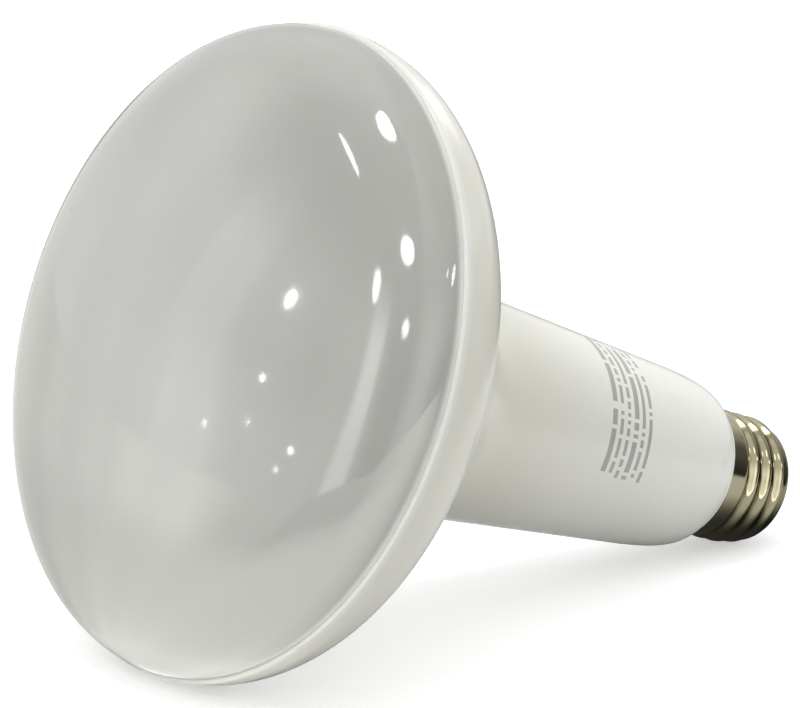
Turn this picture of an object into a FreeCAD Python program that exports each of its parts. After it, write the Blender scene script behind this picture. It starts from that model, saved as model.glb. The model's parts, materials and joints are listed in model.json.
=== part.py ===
"""Reflector bulb with a wide milky dome, a white bell and neck, and a screw cap.

All sizes are in millimetres. Each piece is a body of revolution about the lamp's
own axis, which is local +Z, with z = 0 where the neck ends and the metal cap
begins. The dome is towards +Z and the cap towards -Z. The finished lamp is then
laid on its side, as it comes to rest: on the rim of the bell and on the cap.
"""

import FreeCAD, Part
import math
import os

# Bell rim, which holds the dome
rim_diameter = 122.0
rim_height = 116.0
rim_lip_width = 0.7
rim_recess_depth = 1.6
rim_outer_round = 0.55
rim_inner_round = 0.1

# Outside of the bell, from the rim down to the neck
side_band_height = 2.8
side_band_draft = 4.4
bell_round_radius = 14.0
bell_back_angle = 49.7
flare_radius = 22.0

# Neck and its rounded end
neck_low_diameter = 36.6
neck_taper = 4.2
neck_end_length = 15.5
neck_end_diameter = 30.0
end_ring_diameter = 29.6
end_ring_height = 1.2
end_ring_edge_round = 0.3

# Milky dome
dome_wall_height = 1.6
dome_corner_radius = 10.0
dome_corner_angle = 50.0
dome_shoulder_radius = 30.0
dome_shoulder_angle = 68.0
dome_gap = 0.05

# Screw cap: shell with a rolled knuckle thread
thread_pitch = 25.4 / 7
thread_crest_diameter = 26.2
thread_depth = 1.06
thread_top_depth = 5.0
thread_crest_drop = 2.66
thread_run_in = 1.7
thread_run_out = 1.9
sections_per_turn = 12
shell_length = 19.4
shell_end_height = 2.1
shell_floor = 1.7
shell_bore_diameter = 22.2
shell_mouth_diameter = 18.2
shell_end_round = 1.6

# Spigot of the neck inside the shell, insulator and centre contact
bond_gap = 0.1
insulator_height = 3.3
insulator_top_diameter = 19.8
insulator_tip_diameter = 11.6
insulator_belly = 0.7
contact_diameter = 9.4
contact_height = 1.4
contact_edge_round = 0.5
contact_stem_diameter = 3.2
contact_stem_length = 2.6

# Lying on its side
tilt_tolerance = 0.0005

# Places that follow from the sizes
rim_radius = rim_diameter / 2
dome_radius = rim_radius - rim_lip_width - dome_gap
seat_z = rim_height - rim_recess_depth
dome_edge_z = seat_z + dome_wall_height
crest_radius = thread_crest_diameter / 2
root_radius = crest_radius - thread_depth
thread_crest_depth = thread_top_depth + thread_crest_drop
thread_bottom_depth = shell_length - shell_end_height
shell_floor_z = -(shell_length - shell_floor)
mouth_z = -shell_length
insulator_tip_z = mouth_z - insulator_height
contact_tip_z = insulator_tip_z - contact_height


def point(radius, height):
    """Point of an outline in the plane of the axis."""
    return FreeCAD.Vector(radius, 0, height)


def direction(angle_from_axis):
    """Unit vector that leaves the axis by an angle in degrees while it climbs."""
    turn = math.radians(angle_from_axis)
    return point(math.sin(turn), math.cos(turn))


def outward(angle):
    """Unit vector at an angle in degrees from the outward direction."""
    turn = math.radians(angle)
    return point(math.cos(turn), math.sin(turn))


def line(start, end):
    """Straight edge between two points."""
    return Part.LineSegment(start, end).toShape()


def arc(start, middle, end):
    """Round edge through three points."""
    return Part.Arc(start, middle, end).toShape()


def arc_about(centre, radius, start_angle, end_angle):
    """Round edge about a centre, its angles in degrees from the outward direction."""
    ends = []
    for angle in (start_angle, (start_angle + end_angle) / 2, end_angle):
        ends.append(centre + outward(angle) * radius)
    return arc(*ends)


def turned(edges):
    """Solid made by turning a closed outline about the lamp's axis."""
    face = Part.Face(Part.Wire(edges))
    return face.revolve(FreeCAD.Vector(0, 0, 0), FreeCAD.Vector(0, 0, 1), 360)


def end_of(edge):
    """Last point of an edge, in the order in which it was drawn."""
    return edge.valueAt(edge.LastParameter)


def bell_side():
    """Edges from the lip's outer edge, down the side band and round to the back."""
    lip_corner = point(rim_radius, rim_height - rim_outer_round)
    band = direction(side_band_draft) * -side_band_height
    band_end = lip_corner + band
    centre = band_end - outward(-side_band_draft) * bell_round_radius
    side = line(lip_corner, band_end)
    back_round = arc_about(centre, bell_round_radius, -side_band_draft, -bell_back_angle)
    return [side, back_round]


def neck_side(cone_start):
    """Edges from the bell's back, through the flare, down the neck to its end."""
    neck_way = direction(neck_taper)
    cone_way = direction(bell_back_angle)
    neck_low = point(neck_low_diameter / 2, neck_end_length)
    across = neck_way.x * cone_way.z - neck_way.z * cone_way.x
    to_cone = cone_start - neck_low
    climb = (to_cone.x * cone_way.z - to_cone.z * cone_way.x) / across
    corner = neck_low + neck_way * climb
    half_turn = math.radians(bell_back_angle - neck_taper) / 2
    tangent = flare_radius * math.tan(half_turn)
    flare_top = corner + cone_way * tangent
    flare_low = corner - neck_way * tangent
    outward = point(neck_way.z, -neck_way.x)
    centre = flare_low + outward * flare_radius
    flare_middle = centre + (corner - centre).normalize() * flare_radius
    cone = line(cone_start, flare_top)
    flare = arc(flare_top, flare_middle, flare_low)
    neck = line(flare_low, neck_low)
    shoulder = shoulder_edge(neck_low, neck_way)
    return [cone, flare, neck, shoulder]


def shoulder_edge(neck_low, neck_way):
    """Smooth edge from the neck round to its flat end, like a quarter of an ellipse."""
    quarter_handle = 0.5523
    shoulder_end = point(neck_end_diameter / 2, end_ring_height)
    drop = neck_low.z - shoulder_end.z
    reach = neck_low.x - shoulder_end.x
    curve = Part.BezierCurve()
    curve.setPoles([
        neck_low,
        neck_low - neck_way * (drop * quarter_handle),
        shoulder_end + point(reach * quarter_handle, 0),
        shoulder_end,
    ])
    return curve.toShape()


def housing():
    """White moulding: bell with its lip, neck, end ring and the spigot in the cap."""
    lip_inner = rim_radius - rim_lip_width
    spigot_radius = shell_bore_diameter / 2 - bond_gap
    ring_radius = end_ring_diameter / 2
    side = bell_side()
    neck = neck_side(end_of(side[-1]))
    inner_corner = point(lip_inner + rim_inner_round, rim_height - rim_inner_round)
    outer_corner = point(rim_radius - rim_outer_round, rim_height - rim_outer_round)
    edges = [
        line(point(0, seat_z), point(lip_inner, seat_z)),
        line(point(lip_inner, seat_z), point(lip_inner, inner_corner.z)),
        arc_about(inner_corner, rim_inner_round, 180, 90),
        line(point(inner_corner.x, rim_height), point(outer_corner.x, rim_height)),
        arc_about(outer_corner, rim_outer_round, 90, 0),
        *side,
        *neck,
        line(point(neck_end_diameter / 2, end_ring_height), point(ring_radius, end_ring_height)),
        line(point(ring_radius, end_ring_height), point(ring_radius, end_ring_edge_round)),
        arc_about(point(ring_radius - end_ring_edge_round, end_ring_edge_round), end_ring_edge_round, 0, -90),
        line(point(ring_radius - end_ring_edge_round, 0), point(spigot_radius, 0)),
        line(point(spigot_radius, 0), point(spigot_radius, shell_floor_z)),
        line(point(spigot_radius, shell_floor_z), point(0, shell_floor_z)),
        line(point(0, shell_floor_z), point(0, seat_z)),
    ]
    return turned(edges)


def diffuser_dome():
    """Milky dome: an upright edge, a tight corner, a rounder shoulder and a flat crown."""
    corner_centre = point(dome_radius - dome_corner_radius, dome_edge_z)
    shoulder_lead = dome_shoulder_radius - dome_corner_radius
    shoulder_centre = corner_centre - outward(dome_corner_angle) * shoulder_lead
    shoulder_way = outward(dome_shoulder_angle)
    shoulder_end = shoulder_centre + shoulder_way * dome_shoulder_radius
    crown_radius = shoulder_end.x / shoulder_way.x
    crown_centre = shoulder_end - shoulder_way * crown_radius
    edges = [
        line(point(0, seat_z), point(dome_radius, seat_z)),
        line(point(dome_radius, seat_z), point(dome_radius, dome_edge_z)),
        arc_about(corner_centre, dome_corner_radius, 0, dome_corner_angle),
        arc_about(shoulder_centre, dome_shoulder_radius, dome_corner_angle, dome_shoulder_angle),
        arc_about(crown_centre, crown_radius, dome_shoulder_angle, 90),
        line(crown_centre + point(0, crown_radius), point(0, seat_z)),
    ]
    return turned(edges)


def ease(share):
    """Smooth step from 0 to 1."""
    held = min(max(share, 0.0), 1.0)
    return held * held * (3 - 2 * held)


def thread_section(depth):
    """Round section of the rolled thread: a circle whose centre circles the axis."""
    run_in = ease((depth - thread_top_depth) / thread_run_in)
    run_out = ease((thread_bottom_depth - depth) / thread_run_out)
    swing = thread_depth / 2 * min(run_in, run_out)
    radius = crest_radius - swing
    if run_out < run_in:
        radius = root_radius + swing
    turn = -2 * math.pi * (depth - thread_crest_depth) / thread_pitch
    centre = FreeCAD.Vector(swing * math.cos(turn), swing * math.sin(turn), -depth)
    return Part.Wire(Part.makeCircle(radius, centre))


def screw_shell():
    """Plated cap with a plain collar, the rolled thread and a turned-in end."""
    threaded_length = thread_bottom_depth - thread_top_depth
    count = max(2, round(threaded_length / thread_pitch * sections_per_turn))
    sections = []
    for index in range(count + 1):
        sections.append(thread_section(thread_top_depth + threaded_length * index / count))
    thread = Part.makeLoft(sections, True, False)
    collar = Part.makeCylinder(crest_radius, thread_top_depth, point(0, -thread_top_depth))
    end_centre = point(root_radius - shell_end_round, mouth_z + shell_end_round)
    end_edges = [
        line(point(0, -thread_bottom_depth), point(root_radius, -thread_bottom_depth)),
        line(point(root_radius, -thread_bottom_depth), point(root_radius, mouth_z + shell_end_round)),
        arc_about(end_centre, shell_end_round, 0, -90),
        line(point(root_radius - shell_end_round, mouth_z), point(0, mouth_z)),
        line(point(0, mouth_z), point(0, -thread_bottom_depth)),
    ]
    outside = collar.fuse([thread, turned(end_edges)])
    bore = Part.makeCylinder(shell_bore_diameter / 2, -shell_floor_z, point(0, shell_floor_z))
    mouth = Part.makeCylinder(shell_mouth_diameter / 2, shell_length, point(0, mouth_z))
    return outside.cut([bore, mouth]).Solids[0]


def insulator():
    """Black glass plug in the cap's mouth, with a hole for the contact's stem."""
    plug_radius = shell_mouth_diameter / 2 - bond_gap
    top = point(insulator_top_diameter / 2, mouth_z)
    tip = point(insulator_tip_diameter / 2, insulator_tip_z)
    slope = (tip - top).normalize()
    belly = (top + tip) * 0.5 + point(-slope.z, slope.x) * insulator_belly
    hole_radius = contact_stem_diameter / 2 + bond_gap
    hole_z = insulator_tip_z + contact_stem_length + bond_gap
    edges = [
        line(point(0, shell_floor_z), point(plug_radius, shell_floor_z)),
        line(point(plug_radius, shell_floor_z), point(plug_radius, mouth_z)),
        line(point(plug_radius, mouth_z), top),
        arc(top, belly, tip),
        line(tip, point(hole_radius, insulator_tip_z)),
        line(point(hole_radius, insulator_tip_z), point(hole_radius, hole_z)),
        line(point(hole_radius, hole_z), point(0, hole_z)),
        line(point(0, hole_z), point(0, shell_floor_z)),
    ]
    return turned(edges)


def centre_contact():
    """Contact button with a rounded edge, a flat tip and a stem in the insulator."""
    radius = contact_diameter / 2
    stem = contact_stem_diameter / 2
    stem_z = insulator_tip_z + contact_stem_length
    flat = radius - contact_edge_round
    edges = [
        line(point(0, stem_z), point(stem, stem_z)),
        line(point(stem, stem_z), point(stem, insulator_tip_z)),
        line(point(stem, insulator_tip_z), point(radius, insulator_tip_z)),
        line(point(radius, insulator_tip_z), point(radius, contact_tip_z + contact_edge_round)),
        arc_about(point(flat, contact_tip_z + contact_edge_round), contact_edge_round, 0, -90),
        line(point(flat, contact_tip_z), point(0, contact_tip_z)),
        line(point(0, contact_tip_z), point(0, stem_z)),
    ]
    return turned(edges)


def leaning(shape, tilt):
    """Copy of a shape whose axis leans towards -X and climbs by an angle in degrees."""
    copy = shape.copy()
    turn = FreeCAD.Rotation(FreeCAD.Vector(0, 1, 0), tilt - 90)
    copy.Placement = FreeCAD.Placement(FreeCAD.Vector(0, 0, 0), turn)
    return copy


def lowest(shape, tilt):
    """Height of a shape's lowest point when its axis climbs by that angle."""
    return leaning(shape, tilt).optimalBoundingBox(False, False).ZMin


def lying_tilt(bell, cap):
    """Angle of the axis at which bell and cap touch one flat surface, found by halving."""
    too_low = 0.0
    too_high = 90.0
    while too_high - too_low > tilt_tolerance:
        tilt = (too_low + too_high) / 2
        if lowest(cap, tilt) > lowest(bell, tilt):
            too_low = tilt
        else:
            too_high = tilt
    return (too_low + too_high) / 2


def laid_down(pieces):
    """The pieces turned on their side, over the origin, with the lowest point at z = 0."""
    tilt = lying_tilt(pieces["housing"], pieces["screw_shell"])
    placed = {name: leaning(shape, tilt) for name, shape in pieces.items()}
    whole = Part.makeCompound(list(placed.values())).optimalBoundingBox(False, False)
    lift = FreeCAD.Vector(-(whole.XMin + whole.XMax) / 2, -(whole.YMin + whole.YMax) / 2, -whole.ZMin)
    for shape in placed.values():
        shape.translate(lift)
    return placed


pieces = {
    "diffuser_dome": diffuser_dome(),
    "housing": housing(),
    "screw_shell": screw_shell(),
    "insulator": insulator(),
    "centre_contact": centre_contact(),
}

os.makedirs("parts", exist_ok=True)
for name, shape in laid_down(pieces).items():
    shape.exportStep("parts/" + name + ".step")
    box = shape.BoundBox
    print(name, "valid" if shape.isValid() else "NOT VALID", round(shape.Volume), "mm3", box)
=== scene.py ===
"""Looks of a reflector bulb that lies on its rim and its screw cap, in plain studio light."""

import json
import math
import random

import bpy
from mathutils import Matrix, Vector


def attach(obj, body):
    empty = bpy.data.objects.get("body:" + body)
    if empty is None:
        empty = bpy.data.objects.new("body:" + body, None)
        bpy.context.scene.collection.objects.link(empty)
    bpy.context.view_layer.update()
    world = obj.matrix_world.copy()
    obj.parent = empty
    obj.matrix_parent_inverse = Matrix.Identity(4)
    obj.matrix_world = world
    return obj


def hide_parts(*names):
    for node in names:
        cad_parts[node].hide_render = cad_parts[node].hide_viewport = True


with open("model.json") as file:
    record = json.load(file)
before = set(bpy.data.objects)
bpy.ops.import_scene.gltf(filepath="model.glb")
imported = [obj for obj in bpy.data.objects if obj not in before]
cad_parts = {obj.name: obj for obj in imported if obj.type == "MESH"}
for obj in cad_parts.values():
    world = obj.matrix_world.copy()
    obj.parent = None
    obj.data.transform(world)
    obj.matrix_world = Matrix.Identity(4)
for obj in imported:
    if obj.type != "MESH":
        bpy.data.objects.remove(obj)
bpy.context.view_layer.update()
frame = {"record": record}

# Lengths below are in millimetres in the lamp's own frame, as on the solids they stand for:
# z runs along the lamp's axis from the end of the neck towards the dome.
MM = 0.001

# Rim, bell, neck and its end ring
rim_radius = 61.0
rim_height = 116.0
rim_lip_width = 0.7
rim_recess_depth = 1.6
rim_outer_round = 0.55
rim_inner_round = 0.03
side_band_height = 2.8
side_band_draft = 4.4
bell_round_radius = 14.0
bell_back_angle = 49.7
flare_radius = 22.0
neck_low_radius = 18.3
neck_taper = 4.2
neck_end_length = 15.5
neck_end_radius = 15.0
end_ring_radius = 14.8
end_ring_height = 1.2
end_ring_edge_round = 0.3

# Dome
dome_wall_height = 1.6
dome_corner_radius = 10.0
dome_corner_angle = 50.0
dome_shoulder_radius = 30.0
dome_shoulder_angle = 68.0
dome_gap = 0.004

# Screw cap, insulator and contact
thread_pitch = 25.4 / 7
thread_crest_radius = 13.1
thread_depth = 1.06
thread_top_depth = 5.0
thread_crest_drop = 2.66
thread_run_in = 1.7
thread_run_out = 1.9
shell_length = 19.4
shell_end_height = 2.1
shell_floor = 1.7
shell_bore_radius = 11.1
shell_mouth_radius = 9.1
shell_end_round = 1.6
bond_gap = 0.1
insulator_height = 3.3
insulator_top_radius = 9.9
insulator_tip_radius = 5.8
insulator_belly = 0.7
contact_radius = 4.7
contact_height = 1.4
contact_edge_round = 0.5
contact_stem_radius = 1.6
contact_stem_length = 2.6

# Grey bars on the neck: rows by height along the axis and thickness, angles about the axis
print_rows = ((38.8, 1.35), (36.7, 0.9), (34.7, 0.9), (32.5, 1.35), (30.4, 0.9), (28.4, 0.9))
print_start_angle = -103.55
print_end_angle = -6.65
print_end_spread = (-14, 10)
print_cells_per_radian = 26.0
print_gap_share = 0.2
print_ink_share = 0.6
print_seed = 7

# Places that follow from the sizes
lip_inner_radius = rim_radius - rim_lip_width
dome_radius = lip_inner_radius - dome_gap
seat_z = rim_height - rim_recess_depth
dome_edge_z = seat_z + dome_wall_height
thread_root_radius = thread_crest_radius - thread_depth
thread_crest_depth = thread_top_depth + thread_crest_drop
thread_bottom_depth = shell_length - shell_end_height
shell_floor_z = shell_floor - shell_length
insulator_tip_z = -shell_length - insulator_height
contact_tip_z = insulator_tip_z - contact_height

# Mesh density
steps_around = 256
steps_per_arc = 24
steps_per_thread = 100
sharp_edge_angle = 32.0

# The lamp's own frame in the row frame, from the collar's mount
collar = next(m for m in frame["record"]["mounts"] if m["name"] == "cap_collar")
lamp_z = -Vector(collar["axis"]).normalized()
lamp_x = (Vector((0, 0, 1)) - lamp_z * lamp_z.z).normalized()
lamp_y = lamp_z.cross(lamp_x)
lamp_origin = Vector(collar["pos_m"]) + lamp_z * (collar["dims"]["length_mm"] / 2 * MM)


def in_row(x, y, z):
    """Point of the row frame for millimetres in the lamp's own frame."""
    return lamp_origin + (lamp_x * x + lamp_y * y + lamp_z * z) * MM


def arc_points(centre, radius, start_angle, end_angle, steps=steps_per_arc):
    """Points of a round stretch, its angles in degrees from the outward direction."""
    points = []
    for index in range(steps + 1):
        angle = math.radians(start_angle + (end_angle - start_angle) * index / steps)
        points.append((centre[0] + radius * math.cos(angle), centre[1] + radius * math.sin(angle)))
    return points


def unit_way(angle):
    """Direction of length 1 at an angle in degrees from the outward direction."""
    return math.cos(math.radians(angle)), math.sin(math.radians(angle))


def line_points(start, end, steps):
    """Points of a straight stretch, both ends included."""
    points = []
    for index in range(steps + 1):
        share = index / steps
        points.append(tuple(a + (b - a) * share for a, b in zip(start, end)))
    return points


def without_repeats(points):
    """The same outline with no point on the one before it."""
    kept = [points[0]]
    for candidate in points[1:]:
        if math.dist(candidate, kept[-1]) > 1e-4:
            kept.append(candidate)
    return kept


def solid_of_rows(name, rows, closed):
    """Mesh object from rows of points about the axis. A row is a ring or a single pole."""
    vertices = []
    starts = []
    for row in rows:
        starts.append(len(vertices))
        vertices.extend(row)
    faces = []
    pairs = list(zip(range(len(rows) - 1), range(1, len(rows))))
    if closed:
        pairs.append((len(rows) - 1, 0))
    for here, after in pairs:
        for turn in range(steps_around):
            onward = (turn + 1) % steps_around
            corners = []
            for row, places in ((here, (turn, onward)), (after, (onward, turn))):
                if len(rows[row]) == 1:
                    corners.append(starts[row])
                else:
                    corners.extend(starts[row] + place for place in places)
            faces.append(corners)
    mesh = bpy.data.meshes.new(name)
    mesh.from_pydata([in_row(*v) for v in vertices], [], faces)
    mesh.validate()
    mesh.update()
    for polygon in mesh.polygons:
        polygon.use_smooth = True
    mesh.set_sharp_from_angle(angle=math.radians(sharp_edge_angle))
    piece = bpy.data.objects.new(name, mesh)
    bpy.context.scene.collection.objects.link(piece)
    return piece


def ring(radius, height):
    """One row of points about the axis. The radius may depend on the angle."""
    if not callable(radius) and radius < 1e-6:
        return [(0.0, 0.0, height)]
    row = []
    for turn in range(steps_around):
        angle = 2 * math.pi * turn / steps_around
        reach = radius(angle) if callable(radius) else radius
        row.append((reach * math.cos(angle), reach * math.sin(angle), height))
    return row


def turned(name, outline):
    """Solid of revolution from (radius, height) points that run from the top down."""
    rows = [ring(radius, height) for radius, height in without_repeats(outline)]
    return solid_of_rows(name, rows, False)


def dome_outline():
    """Flat crown, rounder shoulder, tight corner and upright edge of the milky dome."""
    corner_way = unit_way(dome_corner_angle)
    shoulder_way = unit_way(dome_shoulder_angle)
    corner_centre = (dome_radius - dome_corner_radius, dome_edge_z)
    lead = dome_corner_radius - dome_shoulder_radius
    shoulder_centre = (
        corner_centre[0] + lead * corner_way[0],
        corner_centre[1] + lead * corner_way[1],
    )
    shoulder_end = (
        shoulder_centre[0] + dome_shoulder_radius * shoulder_way[0],
        shoulder_centre[1] + dome_shoulder_radius * shoulder_way[1],
    )
    crown_radius = shoulder_end[0] / shoulder_way[0]
    crown_centre = (0, shoulder_end[1] - crown_radius * shoulder_way[1])
    return (
        arc_points(crown_centre, crown_radius, 90, dome_shoulder_angle, 2 * steps_per_arc)
        + arc_points(shoulder_centre, dome_shoulder_radius, dome_shoulder_angle, dome_corner_angle)
        + arc_points(corner_centre, dome_corner_radius, dome_corner_angle, 0)
        + line_points((dome_radius, dome_edge_z), (dome_radius, seat_z), 2)
        + line_points((dome_radius, seat_z), (0, seat_z), 6)
    )


def bezier_points(poles, steps):
    """Points of a cubic curve through its first and last pole."""
    points = []
    for index in range(steps + 1):
        t = index / steps
        weights = ((1 - t) ** 3, 3 * t * (1 - t) ** 2, 3 * t * t * (1 - t), t ** 3)
        along = sum(weight * pole[0] for weight, pole in zip(weights, poles))
        up = sum(weight * pole[1] for weight, pole in zip(weights, poles))
        points.append((along, up))
    return points


def bell_outline():
    """Lip, side band and the round that turns to the back of the bell."""
    outer_z = rim_height - rim_outer_round
    inner_z = rim_height - rim_inner_round
    draft = math.radians(side_band_draft)
    band_end = (
        rim_radius - math.sin(draft) * side_band_height,
        outer_z - math.cos(draft) * side_band_height,
    )
    centre = (
        band_end[0] - math.cos(draft) * bell_round_radius,
        band_end[1] + math.sin(draft) * bell_round_radius,
    )
    return (
        line_points((0, seat_z), (lip_inner_radius, seat_z), 6)
        + line_points((lip_inner_radius, seat_z), (lip_inner_radius, inner_z), 2)
        + arc_points((lip_inner_radius + rim_inner_round, inner_z), rim_inner_round, 180, 90, 4)
        + arc_points((rim_radius - rim_outer_round, outer_z), rim_outer_round, 90, 0, 10)
        + line_points((rim_radius, outer_z), band_end, 4)
        + arc_points(centre, bell_round_radius, -side_band_draft, -bell_back_angle)
    )


def neck_outline(cone_start):
    """Back of the bell, flare, tapered neck and its rounded end."""
    taper = math.radians(neck_taper)
    back = math.radians(bell_back_angle)
    neck_way = (math.sin(taper), math.cos(taper))
    cone_way = (math.sin(back), math.cos(back))
    neck_low = (neck_low_radius, neck_end_length)
    to_cone = (cone_start[0] - neck_low[0], cone_start[1] - neck_low[1])
    across = neck_way[0] * cone_way[1] - neck_way[1] * cone_way[0]
    climb = (to_cone[0] * cone_way[1] - to_cone[1] * cone_way[0]) / across
    corner = (neck_low[0] + neck_way[0] * climb, neck_low[1] + neck_way[1] * climb)
    tangent = flare_radius * math.tan((back - taper) / 2)
    flare_top = (corner[0] + cone_way[0] * tangent, corner[1] + cone_way[1] * tangent)
    flare_low = (corner[0] - neck_way[0] * tangent, corner[1] - neck_way[1] * tangent)
    centre = (flare_low[0] + neck_way[1] * flare_radius, flare_low[1] - neck_way[0] * flare_radius)
    start_angle = 180 - bell_back_angle
    end_angle = 180 - neck_taper
    quarter_handle = 0.5523
    down = (neck_end_length - end_ring_height) * quarter_handle
    inward = (neck_low_radius - neck_end_radius) * quarter_handle
    shoulder = [
        neck_low,
        (neck_low[0] - neck_way[0] * down, neck_low[1] - neck_way[1] * down),
        (neck_end_radius + inward, end_ring_height),
        (neck_end_radius, end_ring_height),
    ]
    return (
        line_points(cone_start, flare_top, 10)
        + arc_points(centre, flare_radius, start_angle, end_angle)
        + line_points(flare_low, neck_low, 24)
        + bezier_points(shoulder, 2 * steps_per_arc)
    )


def housing_outline():
    """White moulding from the dome's seat, over the outside, to the spigot in the cap."""
    bell = bell_outline()
    edge = end_ring_edge_round
    spigot_radius = shell_bore_radius - bond_gap
    return (
        bell
        + neck_outline(bell[-1])
        + line_points((neck_end_radius, end_ring_height), (end_ring_radius, end_ring_height), 1)
        + line_points((end_ring_radius, end_ring_height), (end_ring_radius, edge), 2)
        + arc_points((end_ring_radius - edge, edge), edge, 0, -90, 6)
        + line_points((end_ring_radius - edge, 0), (spigot_radius, 0), 2)
        + line_points((spigot_radius, 0), (spigot_radius, shell_floor_z), 4)
        + line_points((spigot_radius, shell_floor_z), (0, shell_floor_z), 3)
    )


def ease(share):
    """Smooth step from 0 to 1."""
    held = min(max(share, 0.0), 1.0)
    return held * held * (3 - 2 * held)


def thread_radius(depth):
    """Radius by angle of the rolled thread: a circle whose centre circles the axis."""
    run_in = ease((depth - thread_top_depth) / thread_run_in)
    run_out = ease((thread_bottom_depth - depth) / thread_run_out)
    swing = thread_depth / 2 * min(run_in, run_out)
    radius = thread_crest_radius - swing
    if run_out < run_in:
        radius = thread_root_radius + swing
    crest_turn = -2 * math.pi * (depth - thread_crest_depth) / thread_pitch

    def reach(angle):
        off = angle - crest_turn
        return swing * math.cos(off) + math.sqrt(radius ** 2 - (swing * math.sin(off)) ** 2)

    return reach


def shell_rows():
    """Rows of the plated cap, down its outside and back up its bore."""
    threaded = thread_bottom_depth - thread_top_depth
    rows = [ring(thread_crest_radius, -depth) for depth in (0.0, 1.2, 2.5, 3.8)]
    for index in range(steps_per_thread + 1):
        depth = thread_top_depth + threaded * index / steps_per_thread
        rows.append(ring(thread_radius(depth), -depth))
    round_centre = (thread_root_radius - shell_end_round, shell_end_round - shell_length)
    inside = (
        arc_points(round_centre, shell_end_round, 0, -90, 12)
        + line_points((shell_mouth_radius, -shell_length), (shell_mouth_radius, shell_floor_z), 2)
        + line_points((shell_bore_radius, shell_floor_z), (shell_bore_radius, 0), 4)
    )
    rows += [ring(radius, height) for radius, height in without_repeats(inside)]
    return rows


def insulator_outline():
    """Glass plug from its top in the cap, round its cone, to the hole for the stem."""
    plug_radius = shell_mouth_radius - bond_gap
    hole_radius = contact_stem_radius + bond_gap
    hole_z = insulator_tip_z + contact_stem_length + bond_gap
    top = (insulator_top_radius, -shell_length)
    tip = (insulator_tip_radius, insulator_tip_z)
    chord = math.dist(top, tip)
    out = (insulator_height / chord, (insulator_tip_radius - insulator_top_radius) / chord)
    cone = []
    for radius, height in line_points(top, tip, 16):
        share = (-shell_length - height) / insulator_height
        bulge = insulator_belly * 4 * share * (1 - share)
        cone.append((radius + out[0] * bulge, height + out[1] * bulge))
    return (
        line_points((0, shell_floor_z), (plug_radius, shell_floor_z), 3)
        + line_points((plug_radius, shell_floor_z), (plug_radius, -shell_length), 2)
        + cone
        + line_points(tip, (hole_radius, insulator_tip_z), 3)
        + line_points((hole_radius, insulator_tip_z), (hole_radius, hole_z), 2)
        + line_points((hole_radius, hole_z), (0, hole_z), 2)
    )


def contact_outline():
    """Contact button with its stem in the insulator."""
    stem = contact_stem_radius
    stem_z = insulator_tip_z + contact_stem_length
    flat = contact_radius - contact_edge_round
    edge_z = contact_tip_z + contact_edge_round
    return (
        line_points((0, stem_z), (stem, stem_z), 2)
        + line_points((stem, stem_z), (stem, insulator_tip_z), 2)
        + line_points((stem, insulator_tip_z), (contact_radius, insulator_tip_z), 2)
        + line_points((contact_radius, insulator_tip_z), (contact_radius, edge_z), 2)
        + arc_points((flat, edge_z), contact_edge_round, 0, -90, 8)
        + line_points((flat, contact_tip_z), (0, contact_tip_z), 4)
    )


def add_node(tree, kind, **inputs):
    """New node with values set by socket name, with an underscore for each space."""
    node = tree.nodes.new(kind)
    for name, value in inputs.items():
        node.inputs[name.replace("_", " ")].default_value = value
    return node


def shade_math(tree, operation, first, second=None):
    """Maths node on two values or sockets."""
    node = tree.nodes.new("ShaderNodeMath")
    node.operation = operation
    for socket, value in zip(node.inputs, (first, second)):
        if value is None:
            continue
        if isinstance(value, (int, float)):
            socket.default_value = value
        else:
            tree.links.new(value, socket)
    return node.outputs["Value"]


def shade_distance(tree, across, upward):
    """Length of the line to a point from its two distances."""
    squares = [shade_math(tree, "MULTIPLY", value, value) for value in (across, upward)]
    return shade_math(tree, "SQRT", shade_math(tree, "ADD", *squares))


def shade_range(tree, value, low, high, to_low=0.0, to_high=1.0):
    """Smooth step of a value between two limits."""
    limits = {"From_Min": low, "From_Max": high, "To_Min": to_low, "To_Max": to_high}
    node = add_node(tree, "ShaderNodeMapRange", **limits)
    node.interpolation_type = "SMOOTHSTEP"
    tree.links.new(value, node.inputs["Value"])
    return node.outputs["Result"]


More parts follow.
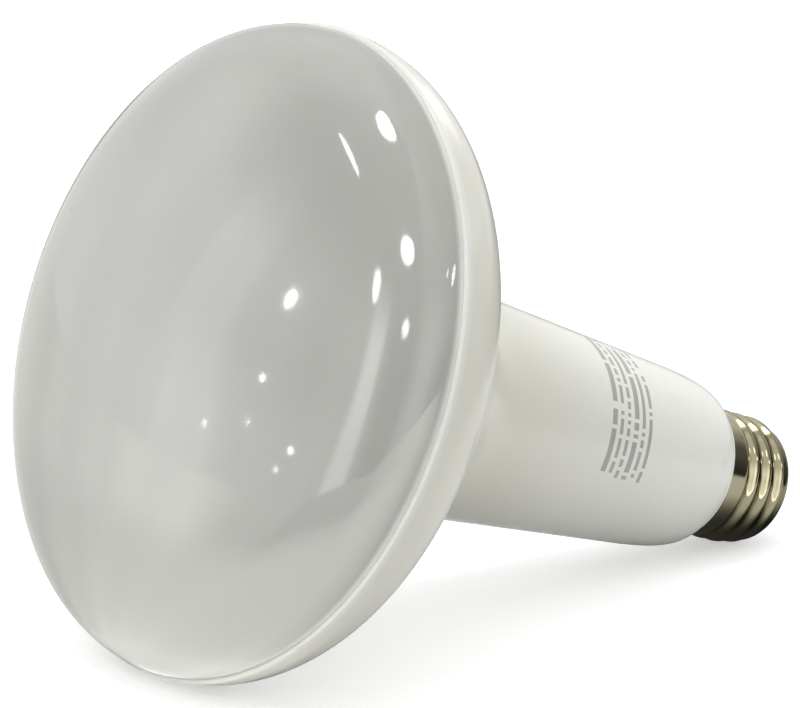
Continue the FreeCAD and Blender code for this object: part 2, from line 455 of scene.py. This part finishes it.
class Finish:
    """A node material with one glossy shader, and short ways to add nodes to it."""

    def __init__(self, name):
        self.material = bpy.data.materials.new(name)
        self.material.use_nodes = True
        self.tree = self.material.node_tree
        self.shader = self.tree.nodes["Principled BSDF"]
        turn = [[axis[row] for axis in (lamp_x, lamp_y, lamp_z)] for row in range(3)]
        lamp_place = self.tree.nodes.new("ShaderNodeMapping")
        lamp_place.vector_type = "TEXTURE"
        lamp_place.inputs["Location"].default_value = lamp_origin
        lamp_place.inputs["Rotation"].default_value = Matrix(turn).to_euler()
        coordinates = self.tree.nodes.new("ShaderNodeTexCoord")
        self.tree.links.new(coordinates.outputs["Object"], lamp_place.inputs["Vector"])
        self.place = lamp_place.outputs["Vector"]

    def link(self, output, socket):
        """Feeds a socket of the shader."""
        self.tree.links.new(output, self.shader.inputs[socket])

    def noise(self, scale, detail):
        """Soft noise from 0 to 1 on the piece."""
        node = add_node(self.tree, "ShaderNodeTexNoise", Scale=scale, Detail=detail)
        self.tree.links.new(self.place, node.inputs["Vector"])
        return node.outputs["Fac"]

    def line_noise(self, scale, along):
        """Noise that changes with one value only, for fine rings and marks."""
        node = add_node(self.tree, "ShaderNodeTexNoise", Scale=scale)
        node.noise_dimensions = "1D"
        self.tree.links.new(along, node.inputs["W"])
        return node.outputs["Fac"]

    def spread(self, value, low, high, to_low=0.0, to_high=1.0):
        """Smooth step of a value between two limits."""
        return shade_range(self.tree, value, low, high, to_low, to_high)

    def math(self, operation, first, second=None):
        """Maths node on two values or sockets."""
        return shade_math(self.tree, operation, first, second)

    def mix(self, share, first, second):
        """First colour where the share is 0, second where it is 1."""
        node = self.tree.nodes.new("ShaderNodeMix")
        node.data_type = "RGBA"
        for name, value in (("Factor", share), ("A", first), ("B", second)):
            socket = next(s for s in node.inputs if s.name == name and s.enabled)
            if isinstance(value, tuple):
                socket.default_value = (*value, 1.0)
            else:
                self.tree.links.new(value, socket)
        return next(s for s in node.outputs if s.enabled)

    def place_parts(self):
        """Place on the piece as three values, in metres in the lamp's own frame."""
        split = self.tree.nodes.new("ShaderNodeSeparateXYZ")
        self.tree.links.new(self.place, split.inputs["Vector"])
        return split.outputs["X"], split.outputs["Y"], split.outputs["Z"]

    def axis_distance(self):
        """Distance from the lamp's axis and place along it, in metres."""
        x, y, z = self.place_parts()
        return shade_distance(self.tree, x, y), z

    def bump(self, height, distance, strength):
        """Fine relief from a value between 0 and 1."""
        node = add_node(self.tree, "ShaderNodeBump", Strength=strength, Distance=distance)
        self.tree.links.new(height, node.inputs["Height"])
        self.link(node.outputs["Normal"], "Normal")


def milky_plastic():
    """Glossy milky diffuser with painted shade and light: greyer over the dark hollow behind it,
    lighter towards its edge and pale at its foot by the rim, with dust specks.
    """
    look = Finish("milky_plastic")
    reach, height = look.axis_distance()
    # Greyer towards the middle and lighter towards the edge: painted shade of the dark hollow behind
    # the dome, and painted light from the white housing behind its edge.
    outer = look.spread(reach, 0.030, 0.056)
    body = look.mix(outer, (0.374, 0.377, 0.357), (0.41, 0.412, 0.388))
    # Pale band at the dome's foot next to the rim: painted light where the rim's ridge shows bright.
    body = look.mix(look.spread(height, 0.1176, 0.1161), body, (0.80, 0.80, 0.755))
    cloud = look.spread(look.noise(28.0, 4.0), 0.35, 0.65)
    clouded = look.mix(look.math("MULTIPLY", cloud, 0.25), body, (0.44, 0.435, 0.395))
    speck = add_node(look.tree, "ShaderNodeTexVoronoi", Scale=62.0)
    look.tree.links.new(look.place, speck.inputs["Vector"])
    dot = look.spread(speck.outputs["Distance"], 0.014, 0.024, 1.0, 0.0)
    chosen = look.spread(look.noise(37.0, 0.0), 0.60, 0.63)
    mark = look.math("MULTIPLY", look.math("MULTIPLY", dot, chosen), 0.75)
    look.link(look.mix(mark, clouded, (0.16, 0.15, 0.12)), "Base Color")
    look.link(look.spread(look.noise(90.0, 5.0), 0.3, 0.7, 0.05, 0.085), "Roughness")
    look.shader.inputs["IOR"].default_value = 1.53
    look.shader.inputs["Subsurface Weight"].default_value = 0.12
    look.shader.inputs["Subsurface Scale"].default_value = 0.004
    look.bump(look.noise(30.0, 1.0), 0.00005, 0.25)
    return look.material


def print_mask(look):
    """Plain grey bars of uneven length, in rows round the neck."""
    x, y, z = look.place_parts()
    turn = look.math("ARCTAN2", y, x)
    cell = look.math("FLOOR", look.math("MULTIPLY", turn, print_cells_per_radian))
    draw = random.Random(print_seed)
    covered = None
    for height, thickness in print_rows:
        off = look.math("ABSOLUTE", look.math("SUBTRACT", z, height * MM))
        on_row = look.math("LESS_THAN", off, thickness / 2 * MM)
        started = look.math("GREATER_THAN", turn, math.radians(print_start_angle))
        end_angle = print_end_angle + draw.uniform(*print_end_spread)
        ended = look.math("LESS_THAN", turn, math.radians(end_angle))
        random_cell = look.tree.nodes.new("ShaderNodeTexWhiteNoise")
        random_cell.noise_dimensions = "1D"
        row_start = draw.randint(100, 900) * 7.0
        look.tree.links.new(look.math("ADD", cell, row_start), random_cell.inputs["W"])
        filled = look.math("GREATER_THAN", random_cell.outputs["Value"], print_gap_share)
        between = look.math("MULTIPLY", started, ended)
        row = look.math("MULTIPLY", look.math("MULTIPLY", on_row, filled), between)
        covered = row if covered is None else look.math("MAXIMUM", covered, row)
    return covered


def white_plastic():
    """Glossy white moulding with a faint yellowing, painted shade that makes the bell darker and
    yellower than the neck, a painted highlight along the top of the side band, fine mould texture
    and the neck's grey bars.
    """
    look = Finish("white_plastic")
    tone = look.spread(look.noise(22.0, 4.0), 0.3, 0.7)
    height = look.axis_distance()[1]
    # The bell is a darker, yellower copy of the neck's white: painted shade where the bell and flare
    # turn away from the light.
    neck = look.mix(tone, (0.735, 0.74, 0.69), (0.775, 0.78, 0.735))
    bell = look.mix(tone, (0.68, 0.675, 0.605), (0.72, 0.715, 0.65))
    painted_light_and_shade_tone = look.mix(look.spread(height, 0.030, 0.070), neck, bell)
    # Lighter top of the side band at the rim: a painted highlight along the rim's ridge.
    painted_light_and_shade_tone = look.mix(look.spread(height, 0.1138, 0.1156), painted_light_and_shade_tone, (0.77, 0.77, 0.725))
    scuff = look.spread(look.noise(160.0, 6.0), 0.66, 0.74)
    worn = look.mix(look.math("MULTIPLY", scuff, 0.12), painted_light_and_shade_tone, (0.45, 0.44, 0.38))
    ink = look.math("MULTIPLY", print_mask(look), print_ink_share)
    look.link(look.mix(ink, worn, (0.15, 0.15, 0.14)), "Base Color")
    look.link(look.spread(look.noise(120.0, 4.0), 0.3, 0.7, 0.16, 0.25), "Roughness")
    look.shader.inputs["IOR"].default_value = 1.5
    look.shader.inputs["Subsurface Weight"].default_value = 0.06
    look.shader.inputs["Subsurface Scale"].default_value = 0.003
    look.bump(look.noise(700.0, 3.0), 0.00003, 0.25)
    return look.material


def plated_brass():
    """Nickel plate with painted shade in the thread's grooves, darker, warmer and duller there, and
    fine rolling marks.
    """
    look = Finish("plated_brass")
    reach, height = look.axis_distance()
    # Darker, warmer colour in the thread's grooves, varied by noise: painted shade where the grooves
    # lie in shade.
    groove = look.spread(reach, 0.01206, 0.01248, 1.0, 0.0)
    painted_groove_shade = look.math("MULTIPLY", groove, look.spread(look.noise(140.0, 5.0), 0.3, 0.7, 0.45, 1.0))
    tone = look.spread(look.noise(60.0, 4.0), 0.3, 0.7)
    plate = look.mix(tone, (0.39, 0.36, 0.235), (0.44, 0.41, 0.285))
    look.link(look.mix(painted_groove_shade, plate, (0.11, 0.09, 0.05)), "Base Color")
    look.shader.inputs["Metallic"].default_value = 1.0
    look.link(look.spread(look.noise(300.0, 5.0), 0.3, 0.7, 0.07, 0.13), "Roughness")
    look.bump(look.line_noise(5200.0, height), 0.00002, 0.2)
    return look.material


def black_glass():
    """Dark glossy insulator with shallow pits."""
    look = Finish("black_glass")
    tone = look.spread(look.noise(180.0, 4.0), 0.35, 0.7)
    look.link(look.mix(tone, (0.012, 0.012, 0.014), (0.035, 0.033, 0.036)), "Base Color")
    look.link(look.spread(look.noise(240.0, 3.0), 0.3, 0.7, 0.10, 0.28), "Roughness")
    look.bump(look.noise(420.0, 2.0), 0.00006, 0.4)
    return look.material


def contact_metal():
    """Dull tinned contact with rings left by turning."""
    look = Finish("contact_metal")
    reach = look.axis_distance()[0]
    tone = look.spread(look.noise(260.0, 5.0), 0.3, 0.7)
    look.link(look.mix(tone, (0.50, 0.48, 0.43), (0.68, 0.66, 0.61)), "Base Color")
    look.shader.inputs["Metallic"].default_value = 1.0
    look.link(look.spread(look.noise(500.0, 4.0), 0.3, 0.7, 0.26, 0.42), "Roughness")
    look.bump(look.line_noise(2600.0, reach), 0.00004, 0.5)
    return look.material


def dress(piece, material, node):
    """Gives a piece its material and slot, attaches it to the root body and hides the solid it
    stands for.
    """
    piece.data.materials.append(material)
    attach(piece, "root")
    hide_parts(node)


dress(turned("dome_cover", dome_outline()), milky_plastic(), "diffuser_dome")
dress(turned("bell_and_neck", housing_outline()), white_plastic(), "housing")
shell = solid_of_rows("threaded_shell", shell_rows(), True)
dress(shell, plated_brass(), "screw_shell")
dress(turned("glass_insulator", insulator_outline()), black_glass(), "insulator")
dress(turned("tip_contact", contact_outline()), contact_metal(), "centre_contact")


# Studio: floor, world and lamps, in metres in the row frame
floor_half = 6.0
floor_tone = (0.72, 0.72, 0.72, 1.0)
camera_floor_lift = 0.50
even_light = 0.61
back_light_way = (74, 62)
back_light_strength = 0.57
pure_white = (1.0, 1.0, 1.0, 1.0)
room_tone = (1.0, 0.995, 0.975, 1.0)
floor_glow_tone = (1.0, 0.985, 0.94, 1.0)
brightest = 6.0

# Where the floor's brightness in gloss changes: from near to far of the dome's foot, in the shade
# under the rim, towards the cap's side, and the pale ring that the cap mirrors. Inside that ring,
# next to the cap, the floor is nearly dark in gloss: a painted shadow round the cap's contact.
gloss_centre_x = -0.07
near_reach = 0.08
far_reach = 0.32
foot_shade_x = -0.055
foot_shade_reach = (0.018, 0.031)
foot_shade_share = 0.42
dome_side_headings = (0.5, 0.25)
cap_centre_x = 0.07
cap_ring_inner = (0.012, 0.032)
cap_ring_outer = (0.17, 0.09)
cap_dark_glow = 0.05

# Heights above the horizon, in degrees, at which one band of the room passes into the next
low_to_middle = (6, 20)
middle_to_high = (26, 44)

# Brightness in gloss by compass angle: the room in three bands by height, and the floor. Only
# glossy rays see it. The stops were set after tones measured on the photograph's dome.
room_low = (
    (-180, 0.9), (-168, 2.1), (-150, 2.2), (-138, 1.5), (-126, 0.3), (-112, 0.1), (-105, 1.0),
    (-100, 4.4), (-92, 4.4), (-87, 1.9), (-78, 2.2), (-66, 3.0), (-60, 3.6), (-58, 4.5),
    (-46, 4.3), (-44, 3.5), (-34, 2.8), (-15, 1.8), (5, 1.2), (40, 0.9), (78, 0.9), (98, 0.5),
    (112, 0.15), (140, 0.02), (168, 0.1), (180, 0.9),
)
room_middle = (
    (-180, 1.9), (-165, 2.3), (-150, 1.8), (-138, 0.7), (-126, 0.0), (-112, 0.0), (-105, 1.0),
    (-101, 5.2), (-94, 5.2), (-88, 1.6), (-75, 1.4), (-66, 2.2), (-57, 2.5), (-54, 3.4),
    (-42, 3.4), (-40, 2.7), (-25, 2.4), (0, 1.1), (30, 0.7), (78, 0.9), (95, 0.5), (112, 0.15),
    (140, 0.1), (160, 0.8), (180, 1.9),
)
room_high = (
    (-180, 1.0), (-150, 1.0), (-130, 0.3), (-70, 0.1), (-42, 0.4), (-15, 1.1), (10, 1.2),
    (35, 1.0), (60, 0.5), (150, 0.5), (180, 1.0),
)
floor_near = (
    (-180, 3.4), (-165, 4.6), (-150, 4.6), (-85, 4.2), (-60, 3.6), (-40, 2.8), (-25, 1.8),
    (-10, 1.0), (150, 0.6), (167, 1.4), (180, 3.4),
)
floor_far = (
    (-180, 4.0), (-165, 4.0), (-145, 3.0), (-118, 1.6), (-85, 1.7), (-72, 2.6), (-58, 5.2),
    (-45, 4.4), (-33, 3.0), (-20, 2.0), (-5, 1.2), (140, 0.5), (152, 0.8), (167, 2.6), (180, 4.0),
)

# Lamps seen in the dome's gloss: point on the dome in millimetres, then compass angle,
# elevation, distance, width, height and radiance of the lamp seen there
room_lamps = (
    ((-43, -34, 104), -48.3, 73.0, 1.4, 0.26, 0.27, 16.0),
    ((-50, -31, 99), -53.7, 48.6, 1.9, 0.36, 0.06, 26.0),
    ((-64, -33, 76), -64.8, 26.5, 3.0, 0.09, 0.13, 46.0),
    ((-51, -49, 86), -110.3, 50.9, 1.8, 0.28, 0.22, 18.0),
    ((-56, -48, 80), -88.3, 37.2, 2.4, 0.20, 0.26, 20.0),
    ((-55, -54, 74), -117.8, 33.6, 2.0, 0.15, 0.15, 18.0),
    ((-46, -55, 82), 144.9, 29.4, 2.0, 0.40, 0.14, 12.0),
    ((-47, -55, 82), 157.5, 35.8, 2.0, 0.18, 0.07, 10.0),
    ((-70, -33, 63), -66.2, 15.2, 4.0, 0.055, 0.07, 44.0),
    ((-72, -32, 55), -65.9, 8.9, 5.0, 0.045, 0.06, 30.0),
    ((-75, -23, 53), -57.0, 5.9, 5.0, 0.03, 0.07, 44.0),
    ((-70, -41, 52), -75.5, 7.5, 5.0, 0.08, 0.08, 32.0),
    ((-72, -39, 48), -73.3, 4.2, 5.0, 0.06, 0.06, 22.0),
)

# Small lamps near the cap: compass angle, elevation, width, height, radiance
cap_middle = Vector((0.075, 0.0, 0.01))
cap_lamp_distance = 0.14
cap_lamps = (
    ("cap_lamp_high", 20, 81, 0.077, 0.035, 2.7),
    ("cap_lamp_side", -166, 55, 0.02, 0.022, 3.2),
)

# Camera of the photograph's view
camera_place = Vector((-0.44825, -0.56227, 0.23386))
camera_aim = Vector((-0.01014, 0.00546, 0.05003))
camera_lens = 176.54


def mixed_shader(tree, share, first, second):
    """First shader where the share is 0, second where it is 1."""
    node = tree.nodes.new("ShaderNodeMixShader")
    tree.links.new(share, node.inputs["Fac"])
    tree.links.new(first, node.inputs[1])
    tree.links.new(second, node.inputs[2])
    return node.outputs["Shader"]


def floor_gloss(tree):
    """The floor's glow in the dome's gloss, and the share of the floor that shows it."""
    place = tree.nodes.new("ShaderNodeNewGeometry")
    split = tree.nodes.new("ShaderNodeSeparateXYZ")
    tree.links.new(place.outputs["Position"], split.inputs["Vector"])
    across = shade_math(tree, "SUBTRACT", split.outputs["X"], gloss_centre_x)
    reach = shade_distance(tree, across, split.outputs["Y"])
    turn = compass_turn(tree, across, split.outputs["Y"])
    near = brightness_ramp(tree, turn, floor_near)
    far = brightness_ramp(tree, turn, floor_far)
    room = blended(tree, near, far, shade_range(tree, reach, near_reach, far_reach))
    behind = shade_math(tree, "SUBTRACT", split.outputs["X"], foot_shade_x)
    from_foot = shade_distance(tree, behind, split.outputs["Y"])
    lit_share = shade_range(tree, from_foot, *foot_shade_reach, foot_shade_share, 1.0)
    room = shade_math(tree, "MULTIPLY", room, lit_share)
    glow = add_node(tree, "ShaderNodeEmission", Color=floor_glow_tone)
    tree.links.new(room, glow.inputs["Strength"])
    heading = shade_math(tree, "DIVIDE", across, reach)
    dome_side = shade_range(tree, heading, *dome_side_headings)
    aside = shade_math(tree, "SUBTRACT", split.outputs["X"], cap_centre_x)
    from_cap = shade_distance(tree, aside, split.outputs["Y"])
    inner = shade_range(tree, from_cap, *cap_ring_inner)
    outer = shade_range(tree, from_cap, *cap_ring_outer)
    cap_ring = shade_math(tree, "MULTIPLY", inner, outer)
    return glow.outputs["Emission"], dome_side, cap_ring


def floor():
    """Pale floor under the lamp, whiter to the camera, with its own brightness in gloss."""
    mesh = bpy.data.meshes.new("floor")
    corners = [(x * floor_half, y * floor_half, 0) for x, y in ((-1, -1), (1, -1), (1, 1), (-1, 1))]
    mesh.from_pydata(corners, [], [(0, 1, 2, 3)])
    plane = bpy.data.objects.new("floor", mesh)
    bpy.context.scene.collection.objects.link(plane)
    material = bpy.data.materials.new("floor_white")
    material.use_nodes = True
    tree = material.node_tree
    path = tree.nodes.new("ShaderNodeLightPath")
    seen = shade_math(tree, "MULTIPLY", path.outputs["Is Camera Ray"], camera_floor_lift)
    shader = tree.nodes["Principled BSDF"]
    shader.inputs["Base Color"].default_value = floor_tone
    shader.inputs["Roughness"].default_value = 0.85
    shader.inputs["Specular IOR Level"].default_value = 0.0
    shader.inputs["Emission Color"].default_value = pure_white
    tree.links.new(seen, shader.inputs["Emission Strength"])
    glow, dome_side, cap_ring = floor_gloss(tree)
    glossy = path.outputs["Is Glossy Ray"]
    # In gloss the floor next to the cap shows only a faint glow: painted shadow of the cap's
    # contact.
    dark = add_node(tree, "ShaderNodeEmission", Color=pure_white, Strength=cap_dark_glow)
    darkened = shade_math(tree, "MULTIPLY", glossy, shade_math(tree, "SUBTRACT", 1.0, cap_ring))
    near_cap = mixed_shader(tree, darkened, shader.outputs["BSDF"], dark.outputs["Emission"])
    glowing = shade_math(tree, "MULTIPLY", dome_side, glossy)
    whole = mixed_shader(tree, glowing, near_cap, glow)
    tree.links.new(whole, tree.nodes["Material Output"].inputs["Surface"])
    mesh.materials.append(material)


def compass_turn(tree, across, onward):
    """Compass angle of a direction, clockwise from +Y, as a share of a turn from -180 degrees."""
    compass = shade_math(tree, "ARCTAN2", across, onward)
    return shade_math(tree, "ADD", shade_math(tree, "MULTIPLY", compass, 0.5 / math.pi), 0.5)


def brightness_ramp(tree, turn, stops):
    """Brightness by compass angle, from (angle, brightness) stops."""
    ramp = tree.nodes.new("ShaderNodeValToRGB")
    ramp.color_ramp.interpolation = "EASE"
    elements = ramp.color_ramp.elements
    while len(elements) < len(stops):
        elements.new(0.5)
    for element, (angle, brightness) in zip(elements, stops):
        element.position = (angle + 180) / 360
        level = brightness / brightest
        element.color = (level, level, level, 1.0)
    tree.links.new(turn, ramp.inputs["Fac"])
    return shade_math(tree, "MULTIPLY", ramp.outputs["Color"], brightest)


def blended(tree, first, second, share):
    """First value where the share is 0, second where it is 1."""
    kept = shade_math(tree, "MULTIPLY", first, shade_math(tree, "SUBTRACT", 1.0, share))
    return shade_math(tree, "ADD", kept, shade_math(tree, "MULTIPLY", second, share))


def sine(degrees):
    """Height of a direction above the horizon as the world's Z."""
    return math.sin(math.radians(degrees))


def toward(azimuth, elevation):
    """Direction from its compass angle, clockwise from +Y, and its height above the horizon."""
    a = math.radians(azimuth)
    e = math.radians(elevation)
    return Vector((math.sin(a) * math.cos(e), math.cos(a) * math.cos(e), math.sin(e)))


def wide_glow(tree, direction, centre, strength):
    """Soft wide patch of light round one direction."""
    facing = tree.nodes.new("ShaderNodeVectorMath")
    facing.operation = "DOT_PRODUCT"
    facing.inputs[1].default_value = centre
    tree.links.new(direction, facing.inputs[0])
    return shade_range(tree, facing.outputs["Value"], 0.3, 0.9, 0.0, strength)


def studio_world():
    """White to the camera, even light for the object, and a room with a bright side in its gloss."""
    world = bpy.data.worlds.new("studio")
    bpy.context.scene.world = world
    world.use_nodes = True
    tree = world.node_tree
    tree.nodes.clear()
    out = tree.nodes.new("ShaderNodeOutputWorld")
    path = tree.nodes.new("ShaderNodeLightPath")
    place = tree.nodes.new("ShaderNodeTexCoord")
    split = tree.nodes.new("ShaderNodeSeparateXYZ")
    tree.links.new(place.outputs["Generated"], split.inputs["Vector"])
    turn = compass_turn(tree, split.outputs["X"], split.outputs["Y"])
    low = brightness_ramp(tree, turn, room_low)
    middle = brightness_ramp(tree, turn, room_middle)
    high = brightness_ramp(tree, turn, room_high)
    height = split.outputs["Z"]
    room = blended(tree, low, middle, shade_range(tree, height, *map(sine, low_to_middle)))
    room = blended(tree, room, high, shade_range(tree, height, *map(sine, middle_to_high)))
    way = place.outputs["Generated"]
    back_light = wide_glow(tree, way, toward(*back_light_way), back_light_strength)
    lit = shade_math(tree, "ADD", back_light, even_light)
    even = add_node(tree, "ShaderNodeBackground", Color=pure_white)
    tree.links.new(lit, even.inputs["Strength"])
    gloss = add_node(tree, "ShaderNodeBackground", Color=room_tone)
    tree.links.new(room, gloss.inputs["Strength"])
    white = add_node(tree, "ShaderNodeBackground", Color=pure_white, Strength=1.0)
    lights = [node.outputs["Background"] for node in (even, gloss, white)]
    shiny = mixed_shader(tree, path.outputs["Is Glossy Ray"], lights[0], lights[1])
    seen = mixed_shader(tree, path.outputs["Is Camera Ray"], shiny, lights[2])
    tree.links.new(seen, out.inputs["Surface"])


def lamp(name, place, aim, width, height, radiance, shape="ELLIPSE"):
    """Soft lamp that the camera doesn't see."""
    data = bpy.data.lights.new(name, "AREA")
    data.shape = shape
    data.size = width
    data.size_y = height
    area = width * height * (math.pi / 4 if shape == "ELLIPSE" else 1)
    data.energy = radiance * area * math.pi
    light = bpy.data.objects.new(name, data)
    light.location = place
    light.rotation_euler = (aim - place).to_track_quat("-Z", "Y").to_euler()
    light.visible_camera = False
    bpy.context.scene.collection.objects.link(light)


def studio_lamps():
    """A wide lamp above, two small lamps near the cap, and the room's lamps in the dome's gloss."""
    middle = Vector((-0.02, 0.0, 0.05))
    lamp("top_softbox", Vector((0.1, 0.2, 1.6)), middle, 1.6, 1.2, 0.15, "RECTANGLE")
    for name, azimuth, elevation, width, height, radiance in cap_lamps:
        place = cap_middle + toward(azimuth, elevation) * cap_lamp_distance
        lamp(name, place, cap_middle, width, height, radiance)
    for index, (hit, azimuth, elevation, distance, width, height, radiance) in enumerate(room_lamps):
        on_dome = Vector(hit) * MM
        place = on_dome + toward(azimuth, elevation) * distance
        lamp(f"room_lamp_{index}", place, on_dome, width, height, radiance)


def camera():
    """Camera of the photograph's view."""
    data = bpy.data.cameras.new("camera")
    data.lens = camera_lens
    data.sensor_width = 36.0
    data.sensor_fit = "HORIZONTAL"
    data.clip_start = 0.01
    holder = bpy.data.objects.new("camera", data)
    holder.location = camera_place
    holder.rotation_euler = (camera_aim - camera_place).to_track_quat("-Z", "Y").to_euler()
    bpy.context.scene.collection.objects.link(holder)
    bpy.context.scene.camera = holder


floor()
studio_world()
studio_lamps()
camera()
bpy.context.scene.view_settings.view_transform = "Standard"
